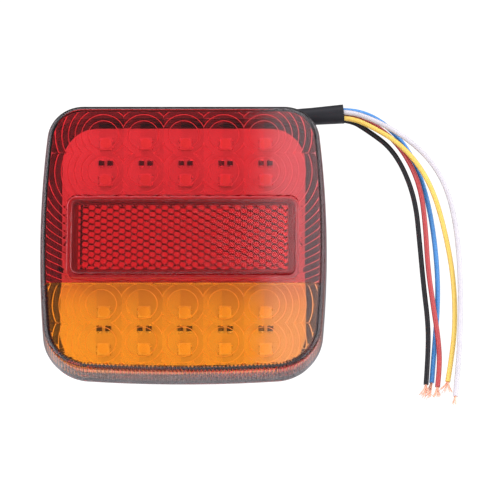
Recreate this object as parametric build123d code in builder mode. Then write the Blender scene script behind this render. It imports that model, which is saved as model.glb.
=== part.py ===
from build123d import *
import os
from math import atan, cos, degrees, pi, radians, sin, tan

os.makedirs("parts", exist_ok=True)

# ---------------------------------------------------------------- driving dimensions (mm)
# X runs to the right of the lamp as it is seen on a trailer, Z runs up, and the lamp looks along -Y.
# The origin is on the flat back, in the middle between the two mounting bolts.
# A "depth" is a distance in front of the back face, so depth d lies at Y = -d.

# Outline of the lens rim: straight top, bowed sides and bottom
HALF_WIDTH = 53.5
TOP_Z = 52.2
TOP_CORNER_X = 50.0
BOTTOM_Z = -52.7
BOTTOM_CORNER = (50.2, -50.3)
TOP_CORNER_RADIUS = 14
BOTTOM_CORNER_RADIUS = 18

# Depths
FLANGE_BACK = 10.2
FLANGE_FRONT = 12.0
LENS_RIM = 12.5
LENS_FRONT = 27.0

# Lens
LENS_DRAFT = 3.2
LENS_WALL = 2.0
LENS_FACE = 2.4
LENS_EDGE_RADIUS = 2.0
SEAM_Z = -18.1
OPTIC_RADIUS = 5.5
OPTIC_RISE = 0.6

# LED grid: five columns, two red rows above the reflector and two amber rows below it
COLUMN_PITCH = 15.0
ROW_PITCH = 14.35
RED_ROWS_Z = 33.075
AMBER_ROWS_Z = -33.075

# Reflex reflector and the window that it sits in
WINDOW = (86.0, 32.2)
WINDOW_RADIUS = 3.6
LEDGE_OPENING = (81.0, 27.2)
LEDGE_THICKNESS = 0.9
REFLECTOR_FACE = (83.4, 29.2)
REFLECTOR_PLUG = (80.4, 26.6)
REFLECTOR_BACK = 24.0
REFLECTOR_RADIUS = 3.0
REFLECTOR_PLUG_RADIUS = 2.7
REFLECTOR_EDGE_RADIUS = 0.4
TRAY = (85.4, 31.6)
TRAY_BACK = 21.6
TRAY_WALL = 2.2
TRAY_FLOOR = 1.0

# Housing
HOUSING_INSET = 5.0
HOUSING_WALL = 2.0
HOUSING_EDGE_RADIUS = 1.0
FLANGE_INSET = 0.4
SEAL_INSET = 0.3
SEAL_FIT = 0.2
RIDGE_INSET = 2.7
RIDGE_WALL = 1.5
RIDGE_FRONT = 15.0

# Circuit board
BOARD = (90.0, 92.6)
BOARD_RADIUS = 13
BOARD_BACK = 12.55
BOARD_THICKNESS = 1.6
BOARD_FRONT = BOARD_BACK + BOARD_THICKNESS
BOARD_SCREWS = (68.0, 16.0)
BOARD_HOLE = 1.3
LED_SHIFT_X = 0.6
LED_SIZE = 4.6
LED_HEIGHT = 1.6
LED_CUP_RIM = 0.4
LED_CUP_DEPTH = 0.5
LED_CUP_TAPER = 20

# Mounting bolts, M5
BOLT_SPACING = 50.0
BOLT_RADIUS = 2.5
BOLT_NECK_RADIUS = 2.4
BOLT_FIT = 0.1
BOLT_END = -16.0
THREAD_PITCH = 0.8
THREAD_CREST = 2.45
THREAD_ROOT = 2.0
HEX_ACROSS_FLATS = 8.0
HEAD_HEIGHT = 3.5
PANEL_GAP = 3.2
FLAT_WASHER = (5.0, 2.65, 1.0)
SPRING_WASHER = (4.3, 2.65, 1.3)
NUT_HEIGHT = 4.0
NUT_BORE = 2.5

# Cable: sleeve leaves the top wall at 45 degrees and bends over to the right
CABLE_DEPTH = 6.5
SLEEVE_ENTRY = (27.9, 43.2)
SLEEVE_BEND = (38.4, 53.7)
SLEEVE_END = (60.3, 55.5)
SLEEVE_BEND_RADIUS = 17
SLEEVE_RADIUS = 3.3
SLEEVE_END_RADIUS = 3.65
SLEEVE_FLARE = 12
SLEEVE_BORE_RADIUS = 3.1
SLEEVE_BORE_DEPTH = 8
GROMMET_RADIUS = 4.2
BOSS_RADIUS = 5.2
WIRE_RADIUS = 0.95
WIRE_CIRCLE = 1.8
CORE_RADIUS = 0.6


# ---------------------------------------------------------------- shared shapes
def front_plane(depth):
    """Plane that faces the front of the lamp, at a depth in front of the back face."""
    return Plane.XZ.offset(depth)


def outline(inset):
    """Lamp outline moved inwards by inset."""
    bottom_x, bottom_z = BOTTOM_CORNER
    with BuildSketch() as shape:
        with BuildLine():
            Line((-TOP_CORNER_X, TOP_Z), (TOP_CORNER_X, TOP_Z))
            ThreePointArc((TOP_CORNER_X, TOP_Z), (HALF_WIDTH, 0), (bottom_x, bottom_z))
            ThreePointArc((bottom_x, bottom_z), (0, BOTTOM_Z), (-bottom_x, bottom_z))
            ThreePointArc((-bottom_x, bottom_z), (-HALF_WIDTH, 0), (-TOP_CORNER_X, TOP_Z))
        make_face()
        corners = shape.vertices().sort_by(Axis.Y)
        fillet(corners[:2], radius=BOTTOM_CORNER_RADIUS)
        corners = shape.vertices().sort_by(Axis.Y)
        fillet(corners[-2:], radius=TOP_CORNER_RADIUS)
        if inset:
            offset(amount=-inset)
    return shape.sketch


def ring(outer_inset, inner_inset):
    """Band between two insets of the lamp outline."""
    with BuildSketch() as shape:
        add(outline(outer_inset))
        add(outline(inner_inset), mode=Mode.SUBTRACT)
    return shape.sketch


def save(solid, name):
    """Label one finished node and write its STEP file."""
    solid.label = name
    export_step(solid, f"parts/{name}.step")


RED_LEDS = [
    (column * COLUMN_PITCH, RED_ROWS_Z + row * ROW_PITCH / 2)
    for row in (1, -1)
    for column in range(-2, 3)
]
AMBER_LEDS = [
    (column * COLUMN_PITCH, AMBER_ROWS_Z + row * ROW_PITCH / 2)
    for row in (1, -1)
    for column in range(-2, 3)
]

# ---------------------------------------------------------------- lenses
# One cup, drafted towards the front, with a rounded front edge and a domed optic behind each LED position.
# It is cut at the seam into the red and the amber moulding.
LENS_DEPTH = LENS_FRONT - LENS_RIM
CAVITY_DEPTH = LENS_DEPTH - LENS_FACE
OPTIC_SPHERE = (OPTIC_RADIUS**2 + OPTIC_RISE**2) / (2 * OPTIC_RISE)

with BuildPart() as lens_cup:
    with BuildSketch(front_plane(LENS_RIM)):
        add(outline(0))
    extrude(amount=LENS_DEPTH, taper=LENS_DRAFT)
    fillet(lens_cup.faces().sort_by(Axis.Y)[0].edges(), radius=LENS_EDGE_RADIUS)
    with BuildSketch(front_plane(LENS_RIM)):
        add(outline(LENS_WALL))
    extrude(amount=CAVITY_DEPTH, taper=LENS_DRAFT, mode=Mode.SUBTRACT)
    with BuildSketch(front_plane(LENS_FRONT - LENS_FACE)):
        RectangleRounded(*LEDGE_OPENING, REFLECTOR_RADIUS)
    extrude(amount=LENS_FACE, mode=Mode.SUBTRACT)
    with BuildSketch(front_plane(LENS_FRONT - LENS_FACE + LEDGE_THICKNESS)):
        RectangleRounded(*WINDOW, WINDOW_RADIUS)
    extrude(amount=LENS_FACE, mode=Mode.SUBTRACT)

with BuildPart() as optic:
    with BuildSketch(Plane.XY):
        with BuildLine():
            base = Line((0, 0), (OPTIC_RADIUS, 0))
            RadiusArc(base @ 1, (0, OPTIC_RISE), -OPTIC_SPHERE)
            Line((0, OPTIC_RISE), (0, 0))
        make_face()
    revolve(axis=Axis.Y)

SEAM_PLANE = Plane.XY.offset(SEAM_Z)
OPTIC_SEAT_Y = -(LENS_FRONT - LENS_FACE)

with BuildPart() as lens_red:
    add(lens_cup.part)
    split(bisect_by=SEAM_PLANE, keep=Keep.TOP)
    with Locations(*[(x, OPTIC_SEAT_Y, z) for x, z in RED_LEDS]):
        add(optic.part)
save(lens_red.part, "lens_red")

with BuildPart() as lens_amber:
    add(lens_cup.part)
    split(bisect_by=SEAM_PLANE, keep=Keep.BOTTOM)
    with Locations(*[(x, OPTIC_SEAT_Y, z) for x, z in AMBER_LEDS]):
        add(optic.part)
save(lens_amber.part, "lens_amber")

# ---------------------------------------------------------------- reflex reflector
# The plate lies on the ledge of the window with a narrow groove all round; its plug carries the prisms.
LEDGE_FRONT = LENS_FRONT - LENS_FACE + LEDGE_THICKNESS

with BuildPart() as reflex_reflector:
    with BuildSketch(front_plane(LEDGE_FRONT)):
        RectangleRounded(*REFLECTOR_FACE, REFLECTOR_RADIUS)
    extrude(amount=LENS_FRONT - LEDGE_FRONT)
    fillet(reflex_reflector.faces().sort_by(Axis.Y)[0].edges(), radius=REFLECTOR_EDGE_RADIUS)
    with BuildSketch(front_plane(REFLECTOR_BACK)):
        RectangleRounded(*REFLECTOR_PLUG, REFLECTOR_PLUG_RADIUS)
    extrude(amount=LEDGE_FRONT - REFLECTOR_BACK)
save(reflex_reflector.part, "reflex_reflector")

# Tray welded behind the ledge: it keeps an air gap behind the prisms
with BuildPart() as reflector_tray:
    with BuildSketch(front_plane(TRAY_BACK)):
        RectangleRounded(*TRAY, REFLECTOR_RADIUS)
    extrude(amount=LENS_FRONT - LENS_FACE - TRAY_BACK)
    with BuildSketch(front_plane(TRAY_BACK + TRAY_FLOOR)):
        RectangleRounded(TRAY[0] - 2 * TRAY_WALL, TRAY[1] - 2 * TRAY_WALL, REFLECTOR_RADIUS - TRAY_WALL)
    extrude(amount=LENS_FACE, mode=Mode.SUBTRACT)
save(reflector_tray.part, "reflector_tray")

# ---------------------------------------------------------------- cable route
cable_y = -CABLE_DEPTH
entry = Vector(SLEEVE_ENTRY[0], cable_y, SLEEVE_ENTRY[1])
bend = Vector(SLEEVE_BEND[0], cable_y, SLEEVE_BEND[1])
sleeve_end = Vector(SLEEVE_END[0], cable_y, SLEEVE_END[1])
entry_direction = (bend - entry).normalized()
cable_direction = (sleeve_end - bend).normalized()
cable_up = Vector(-cable_direction.Z, 0, cable_direction.X)
entry_plane = Plane(origin=entry, z_dir=entry_direction)

# ---------------------------------------------------------------- housing
# Shallow box with a flange for the lens rim, a ridge that centres the lens, board bosses, pockets for
# the two bolt heads and an oblique boss for the cable.
CABLE_BOSS_START = 1.5
CABLE_BOSS_END = 7.0
BOSS_DIAMETER = 6.0
SCREW_HOLE = 0.8
HEX_WALL = 2.2

with BuildPart() as housing:
    with BuildSketch(front_plane(0)):
        add(outline(HOUSING_INSET))
    extrude(amount=FLANGE_BACK)
    fillet(housing.faces().sort_by(Axis.Y)[-1].edges(), radius=HOUSING_EDGE_RADIUS)
    with BuildSketch(front_plane(FLANGE_BACK)):
        add(outline(FLANGE_INSET))
    extrude(amount=FLANGE_FRONT - FLANGE_BACK)
    with BuildSketch(front_plane(FLANGE_FRONT)):
        add(outline(RIDGE_INSET))
    extrude(amount=RIDGE_FRONT - FLANGE_FRONT)
    with BuildSketch(entry_plane.offset(CABLE_BOSS_START)):
        Circle(BOSS_RADIUS)
    extrude(amount=CABLE_BOSS_END - CABLE_BOSS_START)
    with BuildSketch(front_plane(HOUSING_WALL)):
        add(outline(HOUSING_INSET + HOUSING_WALL))
    extrude(amount=FLANGE_FRONT, mode=Mode.SUBTRACT)
    with BuildSketch(front_plane(FLANGE_FRONT)):
        add(outline(RIDGE_INSET + RIDGE_WALL))
    extrude(amount=RIDGE_FRONT - FLANGE_FRONT, mode=Mode.SUBTRACT)
    with BuildSketch(entry_plane):
        Circle(GROMMET_RADIUS)
    extrude(amount=2 * CABLE_BOSS_END, mode=Mode.SUBTRACT)
    with BuildSketch(front_plane(HOUSING_WALL)):
        with GridLocations(*BOARD_SCREWS, 2, 2):
            Circle(BOSS_DIAMETER / 2)
        with GridLocations(BOLT_SPACING, 1, 2, 1):
            Circle(HEX_ACROSS_FLATS / 2 + HEX_WALL)
    extrude(amount=HEAD_HEIGHT)
    with BuildSketch(front_plane(HOUSING_WALL)):
        with GridLocations(*BOARD_SCREWS, 2, 2):
            Circle(BOSS_DIAMETER / 2)
    extrude(amount=BOARD_BACK - HOUSING_WALL)
    with BuildSketch(front_plane(HOUSING_WALL)):
        with GridLocations(*BOARD_SCREWS, 2, 2):
            Circle(SCREW_HOLE)
        with GridLocations(BOLT_SPACING, 1, 2, 1):
            RegularPolygon(HEX_ACROSS_FLATS / 2 + BOLT_FIT, 6, major_radius=False)
    extrude(amount=BOARD_BACK, mode=Mode.SUBTRACT)
    with BuildSketch(front_plane(0)):
        with GridLocations(BOLT_SPACING, 1, 2, 1):
            Circle(BOLT_RADIUS + BOLT_FIT)
    extrude(amount=HOUSING_WALL, mode=Mode.SUBTRACT)
save(housing.part, "housing")

# Sealing ring between the flange and the lens rim
with BuildPart() as lens_seal:
    with BuildSketch(front_plane(FLANGE_FRONT)):
        add(ring(SEAL_INSET, RIDGE_INSET - SEAL_FIT))
    extrude(amount=LENS_RIM - FLANGE_FRONT)
save(lens_seal.part, "lens_seal")

# ---------------------------------------------------------------- circuit board and its parts
with BuildPart() as circuit_board:
    with BuildSketch(front_plane(BOARD_BACK)):
        RectangleRounded(*BOARD, BOARD_RADIUS)
        with GridLocations(*BOARD_SCREWS, 2, 2):
            Circle(BOARD_HOLE, mode=Mode.SUBTRACT)
    extrude(amount=BOARD_THICKNESS)
save(circuit_board.part, "circuit_board")

SCREW_HEAD = (2.4, 1.2)
SCREW_LENGTH = 8.0
SCREW_RADIUS = 0.75
SCREW_SLOT = (3.0, 0.6)
SCREW_SLOT_DEPTH = 0.7

with BuildPart() as board_screws:
    with BuildSketch(front_plane(BOARD_FRONT)):
        with GridLocations(*BOARD_SCREWS, 2, 2):
            Circle(SCREW_HEAD[0])
    extrude(amount=SCREW_HEAD[1])
    with BuildSketch(front_plane(BOARD_FRONT)):
        with GridLocations(*BOARD_SCREWS, 2, 2):
            Circle(SCREW_RADIUS)
    extrude(amount=-SCREW_LENGTH)
    with BuildSketch(front_plane(BOARD_FRONT + SCREW_HEAD[1])):
        with GridLocations(*BOARD_SCREWS, 2, 2):
            Rectangle(*SCREW_SLOT)
            Rectangle(*reversed(SCREW_SLOT))
    extrude(amount=-SCREW_SLOT_DEPTH, mode=Mode.SUBTRACT)
save(board_screws.part, "board_screws")


def led_group(positions):
    """Square surface-mount LEDs with a round cup, one solid at each position."""
    with BuildPart() as group:
        with BuildSketch(front_plane(BOARD_FRONT)):
            with Locations(*[(x + LED_SHIFT_X, z) for x, z in positions]):
                Rectangle(LED_SIZE, LED_SIZE)
        extrude(amount=LED_HEIGHT)
        with BuildSketch(front_plane(BOARD_FRONT + LED_HEIGHT)):
            with Locations(*[(x + LED_SHIFT_X, z) for x, z in positions]):
                Circle(LED_SIZE / 2 - LED_CUP_RIM)
        extrude(amount=-LED_CUP_DEPTH, taper=LED_CUP_TAPER, mode=Mode.SUBTRACT)
    return group.part


save(led_group(RED_LEDS), "leds_red")
save(led_group(AMBER_LEDS), "leds_amber")

# Two chip resistors above every LED of the lower red row and of the lower amber row
RESISTOR = (2.0, 2.2, 0.6)
RESISTOR_PAIR_X = (-1.55, 1.55)
RED_RESISTOR_RISE = 6.4
AMBER_RESISTOR_RISE = 7.6
resistor_spots = []
for group_z, rise in ((RED_ROWS_Z, RED_RESISTOR_RISE), (AMBER_ROWS_Z, AMBER_RESISTOR_RISE)):
    for column in range(-2, 3):
        for side in RESISTOR_PAIR_X:
            x = column * COLUMN_PITCH + LED_SHIFT_X + side
            resistor_spots.append((x, group_z - ROW_PITCH / 2 + rise))

with BuildPart() as resistors:
    with BuildSketch(front_plane(BOARD_FRONT)):
        with Locations(*resistor_spots):
            Rectangle(RESISTOR[0], RESISTOR[1])
    extrude(amount=RESISTOR[2])
save(resistors.part, "resistors")

# ---------------------------------------------------------------- cable sleeve and grommet
GROMMET_START = 0.5
GROMMET_NOSE_RADIUS = 3.9
GROMMET_NOSE_LENGTH = 1.2

with BuildPart() as cable_grommet:
    with BuildSketch(entry_plane.offset(GROMMET_START)):
        Circle(GROMMET_RADIUS)
    extrude(amount=CABLE_BOSS_END - GROMMET_START)
    with BuildSketch(entry_plane.offset(CABLE_BOSS_END)):
        Circle(GROMMET_NOSE_RADIUS)
    extrude(amount=GROMMET_NOSE_LENGTH)
    with BuildSketch(entry_plane.offset(GROMMET_START)):
        Circle(SLEEVE_RADIUS)
    extrude(amount=CABLE_BOSS_END + GROMMET_NOSE_LENGTH, mode=Mode.SUBTRACT)
save(cable_grommet.part, "cable_grommet")

flare_start = sleeve_end - cable_direction * SLEEVE_FLARE
flare_plane = Plane(origin=flare_start, z_dir=cable_direction)
flare_angle = degrees(atan((SLEEVE_END_RADIUS - SLEEVE_RADIUS) / SLEEVE_FLARE))
bore_plane = Plane(origin=sleeve_end - cable_direction * SLEEVE_BORE_DEPTH, z_dir=cable_direction)

with BuildPart() as cable_sleeve:
    with BuildLine() as sleeve_route:
        FilletPolyline(entry, bend, flare_start, radius=SLEEVE_BEND_RADIUS)
    with BuildSketch(entry_plane):
        Circle(SLEEVE_RADIUS)
    sweep(path=sleeve_route.wire())
    with BuildSketch(flare_plane):
        Circle(SLEEVE_RADIUS)
    extrude(amount=SLEEVE_FLARE, taper=-flare_angle)
    with BuildSketch(bore_plane):
        Circle(SLEEVE_BORE_RADIUS)
    extrude(amount=SLEEVE_BORE_DEPTH, mode=Mode.SUBTRACT)
save(cable_sleeve.part, "cable_sleeve")


# ---------------------------------------------------------------- flying leads
# Each lead starts on the floor of the sleeve's bore, leaves along the sleeve and hangs down.
# angle is its place on the wire circle, counted from the back of the lamp towards the top.
LEAVING = 1.5
LEADS = {
    "blue": (90, 7.0, [
        (71.2, -5.0, 55.4), (79.6, -4.3, 49.0), (87.2, -4.2, 37.6), (92.0, -4.4, 21.5),
        (94.6, -4.6, 2.5), (95.3, -4.5, -16.5), (93.6, -4.2, -35.5), (92.3, -4.2, -49.9),
    ]),
    "white": (162, 4.2, [
        (72.0, -8.9, 52.2), (82.6, -9.0, 46.0), (92.8, -9.0, 36.6), (99.5, -9.0, 23.8),
        (102.7, -9.0, 6.0), (103.4, -9.0, -14.0), (102.9, -9.0, -32.5), (101.9, -9.0, -45.5),
        (100.7, -9.0, -56.4),
    ]),
    "yellow": (234, 5.0, [
        (71.6, -8.3, 49.4), (81.0, -8.5, 43.2), (88.9, -8.4, 34.0), (94.4, -8.0, 22.6),
        (98.2, -7.4, 7.5), (101.0, -7.0, -10.0), (101.3, -6.9, -27.5), (99.9, -7.0, -40.0),
        (98.1, -7.0, -50.3),
    ]),
    "red": (18, 4.8, [
        (71.5, -5.9, 51.8), (79.4, -6.2, 45.2), (85.4, -6.3, 36.0), (89.4, -6.4, 24.6),
        (90.8, -6.5, 10.0), (91.4, -6.5, -6.0), (93.3, -6.5, -21.5), (95.0, -6.5, -34.5),
        (95.3, -6.5, -44.0), (94.3, -6.5, -52.2),
    ]),
    "black": (306, 5.6, [
        (70.4, -5.6, 48.4), (77.9, -5.6, 42.4), (83.5, -5.6, 32.6), (87.3, -5.6, 19.8),
        (88.5, -5.6, 4.5), (89.7, -5.6, -12.0), (91.3, -5.6, -28.0), (91.0, -5.6, -40.0),
        (90.1, -5.6, -51.0),
    ]),
}
BEND_SHARE = 0.45


def wire_offset(angle, across):
    """Offset of a wire from the cable axis; across is square to the axis and parallel to the back face."""
    return (Vector(0, 1, 0) * cos(radians(angle)) + across * sin(radians(angle))) * WIRE_CIRCLE


def bend_radii(points):
    """Radius at every inner point of a route, so that arcs share the runs between them."""
    radii = []
    for before, corner, after in zip(points, points[1:], points[2:]):
        run_in = corner - before
        run_out = after - corner
        half_turn = radians(run_in.get_angle(run_out)) / 2
        radii.append(BEND_SHARE * min(run_in.length, run_out.length) / tan(half_turn))
    return radii


def tube(points, radius):
    """Round tube along straight runs joined by tangent arcs."""
    with BuildPart() as body:
        with BuildLine() as route:
            FilletPolyline(*points, radius=bend_radii(points))
        with BuildSketch(Plane(origin=points[0], z_dir=points[1] - points[0])):
            Circle(radius)
        sweep(path=route.wire())
    return body.part, route.wire().length


for colour, (angle, strip, route) in LEADS.items():
    start = sleeve_end + wire_offset(angle, cable_up)
    points = [start - cable_direction * SLEEVE_BORE_DEPTH, start + cable_direction * LEAVING]
    points += [Vector(*point) for point in route]
    lead, length = tube(points, WIRE_RADIUS)
    print(colour, "length", round(length, 1), "radii", [round(radius, 1) for radius in bend_radii(points)],
          "volume ratio", round(lead.volume / (pi * WIRE_RADIUS**2 * length), 4))
    save(lead, f"wire_{colour}")

    with BuildPart() as core:
        with BuildSketch(Plane(origin=points[-1], z_dir=points[-1] - points[-2])):
            Circle(CORE_RADIUS)
        extrude(amount=strip)
    save(core.part, f"core_{colour}")

# ---------------------------------------------------------------- inner leads and solder joints
# Inside the box the leads fan out into a row and turn forwards to pads on the back of the board.
INNER_LEAD_RADIUS = 0.5
INNER_STRAIGHT = 2.0
INNER_RUN = 5.5
PAD_PITCH = 2.8
PAD_ORDER = ("black", "yellow", "white", "red", "blue")
SOLDER = (1.1, 0.8, 30)
MIDDLE_PAD = len(PAD_ORDER) // 2

entry_across = Vector(-entry_direction.Z, 0, entry_direction.X)
solder_spots = []
with BuildPart() as inner_leads:
    for position, colour in enumerate(PAD_ORDER):
        place = wire_offset(LEADS[colour][0], entry_across)
        start = entry + place
        knee = start - entry_direction * INNER_STRAIGHT
        turn = entry - entry_direction * INNER_RUN + entry_across * (position - MIDDLE_PAD) * PAD_PITCH
        turn = Vector(turn.X, start.Y, turn.Z)
        pad = Vector(turn.X, -(BOARD_BACK - SOLDER[1]), turn.Z)
        add(tube([start, knee, turn, pad], INNER_LEAD_RADIUS)[0])
        solder_spots.append((turn.X, turn.Z))
save(inner_leads.part, "inner_leads")

with BuildPart() as solder_joints:
    with BuildSketch(front_plane(BOARD_BACK)):
        with Locations(*solder_spots):
            Circle(SOLDER[0])
    extrude(amount=-SOLDER[1], taper=SOLDER[2])
save(solder_joints.part, "solder_joints")

# ---------------------------------------------------------------- mounting bolts, washers and nuts
THREAD_LEAD_IN = 0.1
THREAD_START = PANEL_GAP - THREAD_LEAD_IN
thread_turns = int((-BOLT_END - THREAD_START) / THREAD_PITCH)
thread_profile = [(0, THREAD_START), (THREAD_ROOT, THREAD_START)]
for turn in range(thread_turns):
    thread_profile.append((THREAD_CREST, THREAD_START + (turn + 0.5) * THREAD_PITCH))
    thread_profile.append((THREAD_ROOT, THREAD_START + (turn + 1) * THREAD_PITCH))
thread_profile.append((0, THREAD_START + thread_turns * THREAD_PITCH))

with BuildPart() as bolt:
    with BuildSketch(front_plane(HOUSING_WALL)):
        RegularPolygon(HEX_ACROSS_FLATS / 2, 6, major_radius=False)
    extrude(amount=HEAD_HEIGHT)
    # Undercut below the head where the bolt passes through the wall, then a plain shank
    with BuildSketch(front_plane(HOUSING_WALL)):
        Circle(BOLT_NECK_RADIUS)
    extrude(amount=-HOUSING_WALL)
    with BuildSketch(front_plane(0)):
        Circle(BOLT_RADIUS)
    extrude(amount=-THREAD_START)
    with BuildSketch(Plane.XY):
        with BuildLine():
            Polyline(*thread_profile, close=True)
        make_face()
    revolve(axis=Axis.Y)

flat_outer, flat_inner, flat_thickness = FLAT_WASHER
with BuildPart() as flat_washer:
    with BuildSketch(front_plane(-PANEL_GAP)):
        Circle(flat_outer)
        Circle(flat_inner, mode=Mode.SUBTRACT)
    extrude(amount=-flat_thickness)

SPRING_START = PANEL_GAP + flat_thickness
SPRING_SPLIT = 0.9
SPRING_SPLIT_TILT = 25
spring_outer, spring_inner, spring_thickness = SPRING_WASHER
with BuildPart() as spring_washer:
    with BuildSketch(front_plane(-SPRING_START)):
        Circle(spring_outer)
        Circle(spring_inner, mode=Mode.SUBTRACT)
    extrude(amount=-spring_thickness)
    split_centre = (0, SPRING_START + spring_thickness / 2, spring_outer)
    with Locations(Location(split_centre, (0, 0, SPRING_SPLIT_TILT))):
        Box(SPRING_SPLIT, 3 * spring_thickness, 2 * spring_outer - spring_inner, mode=Mode.SUBTRACT)

NUT_START = SPRING_START + spring_thickness
NUT_CHAMFER = 0.35
corner_radius = HEX_ACROSS_FLATS / 2 / cos(pi / 6)
with BuildPart() as nut:
    with BuildSketch(front_plane(-NUT_START)):
        RegularPolygon(HEX_ACROSS_FLATS / 2, 6, major_radius=False)
        Circle(NUT_BORE, mode=Mode.SUBTRACT)
    extrude(amount=-NUT_HEIGHT)
    with BuildSketch(Plane.XY):
        with BuildLine():
            Polyline(
                (0, NUT_START),
                (HEX_ACROSS_FLATS / 2, NUT_START),
                (corner_radius, NUT_START + NUT_CHAMFER),
                (corner_radius, NUT_START + NUT_HEIGHT - NUT_CHAMFER),
                (HEX_ACROSS_FLATS / 2, NUT_START + NUT_HEIGHT),
                (0, NUT_START + NUT_HEIGHT),
                close=True,
            )
        make_face()
    revolve(axis=Axis.Y, mode=Mode.INTERSECT)

for side, x in (("left", -BOLT_SPACING / 2), ("right", BOLT_SPACING / 2)):
    place = Location((x, 0, 0))
    save(bolt.part.moved(place), f"bolt_{side}")
    save(flat_washer.part.moved(place), f"flat_washer_{side}")
    save(spring_washer.part.moved(place), f"spring_washer_{side}")
    save(nut.part.moved(place), f"nut_{side}")
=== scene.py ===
import random
from math import asin, atan2, cos, hypot, pi, radians, sin, sqrt, tan

import bmesh
import bpy
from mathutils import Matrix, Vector


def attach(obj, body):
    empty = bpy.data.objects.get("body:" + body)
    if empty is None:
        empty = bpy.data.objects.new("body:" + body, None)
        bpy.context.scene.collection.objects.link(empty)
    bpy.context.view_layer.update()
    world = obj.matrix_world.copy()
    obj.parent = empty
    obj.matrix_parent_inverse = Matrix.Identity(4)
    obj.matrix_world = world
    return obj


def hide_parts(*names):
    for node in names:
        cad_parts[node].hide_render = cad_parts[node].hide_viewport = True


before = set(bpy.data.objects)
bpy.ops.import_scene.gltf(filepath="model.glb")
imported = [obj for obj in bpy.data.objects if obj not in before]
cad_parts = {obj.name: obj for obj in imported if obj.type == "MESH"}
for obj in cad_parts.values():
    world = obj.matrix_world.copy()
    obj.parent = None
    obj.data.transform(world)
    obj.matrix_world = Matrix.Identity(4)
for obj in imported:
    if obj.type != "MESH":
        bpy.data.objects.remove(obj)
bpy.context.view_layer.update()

# ---------------------------------------------------------------- dimensions, in metres
# A depth is a distance in front of the flat back, so depth d lies at Y = -d.
MM = 0.001
HALF_WIDTH = 53.5 * MM
TOP_Z = 52.2 * MM
TOP_CORNER_X = 50.0 * MM
BOTTOM_Z = -52.7 * MM
BOTTOM_CORNER_X = 50.2 * MM
BOTTOM_CORNER_Z = -50.3 * MM
TOP_CORNER_RADIUS = 14 * MM
BOTTOM_CORNER_RADIUS = 18 * MM

LENS_RIM = 12.5 * MM
LENS_FRONT = 27.0 * MM
LENS_FACE = 2.4 * MM
LENS_WALL = 2.0 * MM
LENS_EDGE = 2.0 * MM
LENS_SLOPE = tan(radians(3.2))
INNER_FACE = LENS_FRONT - LENS_FACE
SEAM_Z = -18.1 * MM
SEAM_GAP = 0.03 * MM

COLUMN_PITCH = 15.0 * MM
ROW_PITCH = 14.35 * MM
RED_ROWS_Z = 33.075 * MM
AMBER_ROWS_Z = -33.075 * MM
LED_SHIFT_X = 0.6 * MM

OPTIC_RADIUS = 5.5 * MM
OPTIC_RISE = 0.15 * MM
OPTIC_REACH = 52 * MM
RING_PITCH = 2.45 * MM
RING_RISE = 0.3 * MM
RING_FOOT = 0.08 * MM
RISER_WIDTH = 0.34 * MM
FLUTE_PITCH = 1.45 * MM
FLUTE_HEIGHT = 0.45 * MM

WINDOW = (86.0 * MM, 32.2 * MM, 3.6 * MM)
LEDGE_OPENING = (81.0 * MM, 27.2 * MM, 3.0 * MM)
LEDGE_FRONT = 25.5 * MM
CONTACT_GAP = 0.05 * MM
TRAY_LAND = (85.8 * MM, 32.0 * MM, 3.3 * MM)
TRAY_SEAT = (86.2 * MM, 32.4 * MM, 3.5 * MM)

BOARD_FRONT = 14.15 * MM
LED_SIZE = 4.3 * MM
LED_HEIGHT = 1.6 * MM
RESISTOR_SIZE = (2.0 * MM, 0.6 * MM, 2.2 * MM)
RESISTOR_OFFSET = 1.55 * MM
RED_RESISTOR_ABOVE = 6.4 * MM
AMBER_RESISTOR_ABOVE = 7.6 * MM


# ---------------------------------------------------------------- camera and cords
CAMERA_BELOW = radians(18)


def add_camera():
    """Long lens a little below the lamp, square to it from side to side."""
    distance = 1.36
    offset_right = 24.8 * MM
    offset_up = -4.44 * MM
    look = Vector((0, cos(CAMERA_BELOW), sin(CAMERA_BELOW)))
    up = Vector((0, -sin(CAMERA_BELOW), cos(CAMERA_BELOW)))
    front_centre = Vector((0, -INNER_FACE, 0))
    camera = bpy.data.objects.new("camera", bpy.data.cameras.new("camera"))
    camera.location = front_centre - look * distance + Vector((offset_right, 0, 0)) + up * offset_up
    camera.rotation_euler = (pi / 2 + CAMERA_BELOW, 0, 0)
    camera.data.sensor_width = 36
    camera.data.lens = 264.4
    camera.data.clip_end = 50
    bpy.context.collection.objects.link(camera)
    bpy.context.scene.camera = camera


add_camera()

WIRE_DIAMETER = 1.9 * MM
WIRE_CIRCLE = 1.8 * MM
SLEEVE_BORE_DEPTH = 8 * MM
LEAVING = 1.5 * MM
SLEEVE_BEND = Vector((38.4, -6.5, 53.7)) * MM
SLEEVE_END = Vector((60.3, -6.5, 55.5)) * MM
cable_direction = (SLEEVE_END - SLEEVE_BEND).normalized()
cable_up = Vector((-cable_direction.z, 0, cable_direction.x))

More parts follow.
